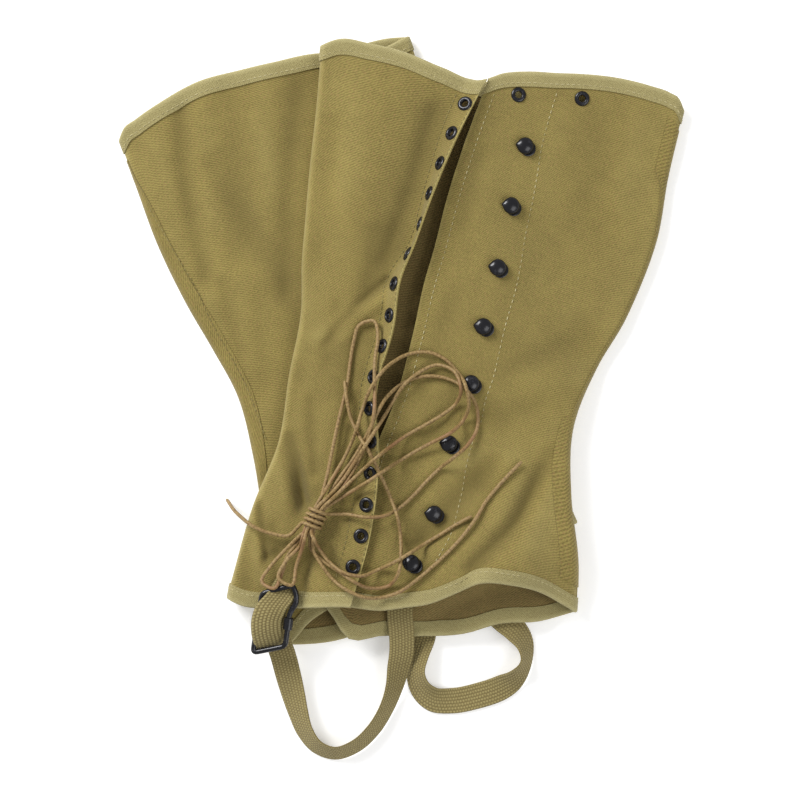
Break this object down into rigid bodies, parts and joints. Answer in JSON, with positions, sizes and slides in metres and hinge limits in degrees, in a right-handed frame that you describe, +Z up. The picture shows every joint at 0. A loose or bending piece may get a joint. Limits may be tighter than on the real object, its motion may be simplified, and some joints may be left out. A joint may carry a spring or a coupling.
{
  "type": "pair of canvas gaiters",
  "caption": "Pair of laced wrap-around canvas gaiters laid flat one across the other, with taped edges, hooks, eyelets, understraps and bundled laces.",
  "frame": {"origin": "under the middle of the whole pair, on the surface that it lies on", "axes": "+Z up from the surface, +Y towards the gaiters' tops, +X to the right as seen from above"},
  "size_m": [0.3437, 0.4369, 0.0447],
  "materials": {
    "canvas": "khaki olive cotton canvas, matt",
    "tape": "paler woven cotton tape, matt",
    "webbing": "coarse basket-weave cotton webbing",
    "black_metal": "blackened metal, satin",
    "lace": "waxed tan-brown cord"
  },
  "bodies": {
    "root": {"lower_eyelet_panel": "canvas", "lower_hook_panel": "canvas", "lower_seam_strip": "canvas", "upper_eyelet_panel": "canvas", "upper_hook_panel": "canvas", "upper_seam_strip": "canvas", "lower_top_binding": "tape", "lower_hem_binding": "tape", "upper_top_binding": "tape", "upper_hem_binding": "tape", "lower_strap": "webbing", "upper_strap": "webbing", "lower_buckle_frame": "black_metal", "lower_buckle_roller": "black_metal", "upper_buckle_frame": "black_metal", "upper_buckle_roller": "black_metal", "hook_1": "black_metal", "hook_2": "black_metal", "hook_3": "black_metal", "hook_4": "black_metal", "hook_5": "black_metal", "hook_6": "black_metal", "hook_7": "black_metal", "hook_8": "black_metal", "top_eyelet_1": "black_metal", "top_eyelet_2": "black_metal", "eyelet_1": "black_metal", "eyelet_2": "black_metal", "eyelet_3": "black_metal", "eyelet_4": "black_metal", "eyelet_5": "black_metal", "eyelet_6": "black_metal", "eyelet_7": "black_metal", "eyelet_8": "black_metal", "eyelet_9": "black_metal", "eyelet_10": "black_metal", "eyelet_11": "black_metal", "eyelet_12": "black_metal", "eyelet_13": "black_metal", "eyelet_14": "black_metal", "eyelet_15": "black_metal", "eyelet_16": "black_metal", "lace_1": "lace", "lace_2": "lace"}
  },
  "joints": []
}
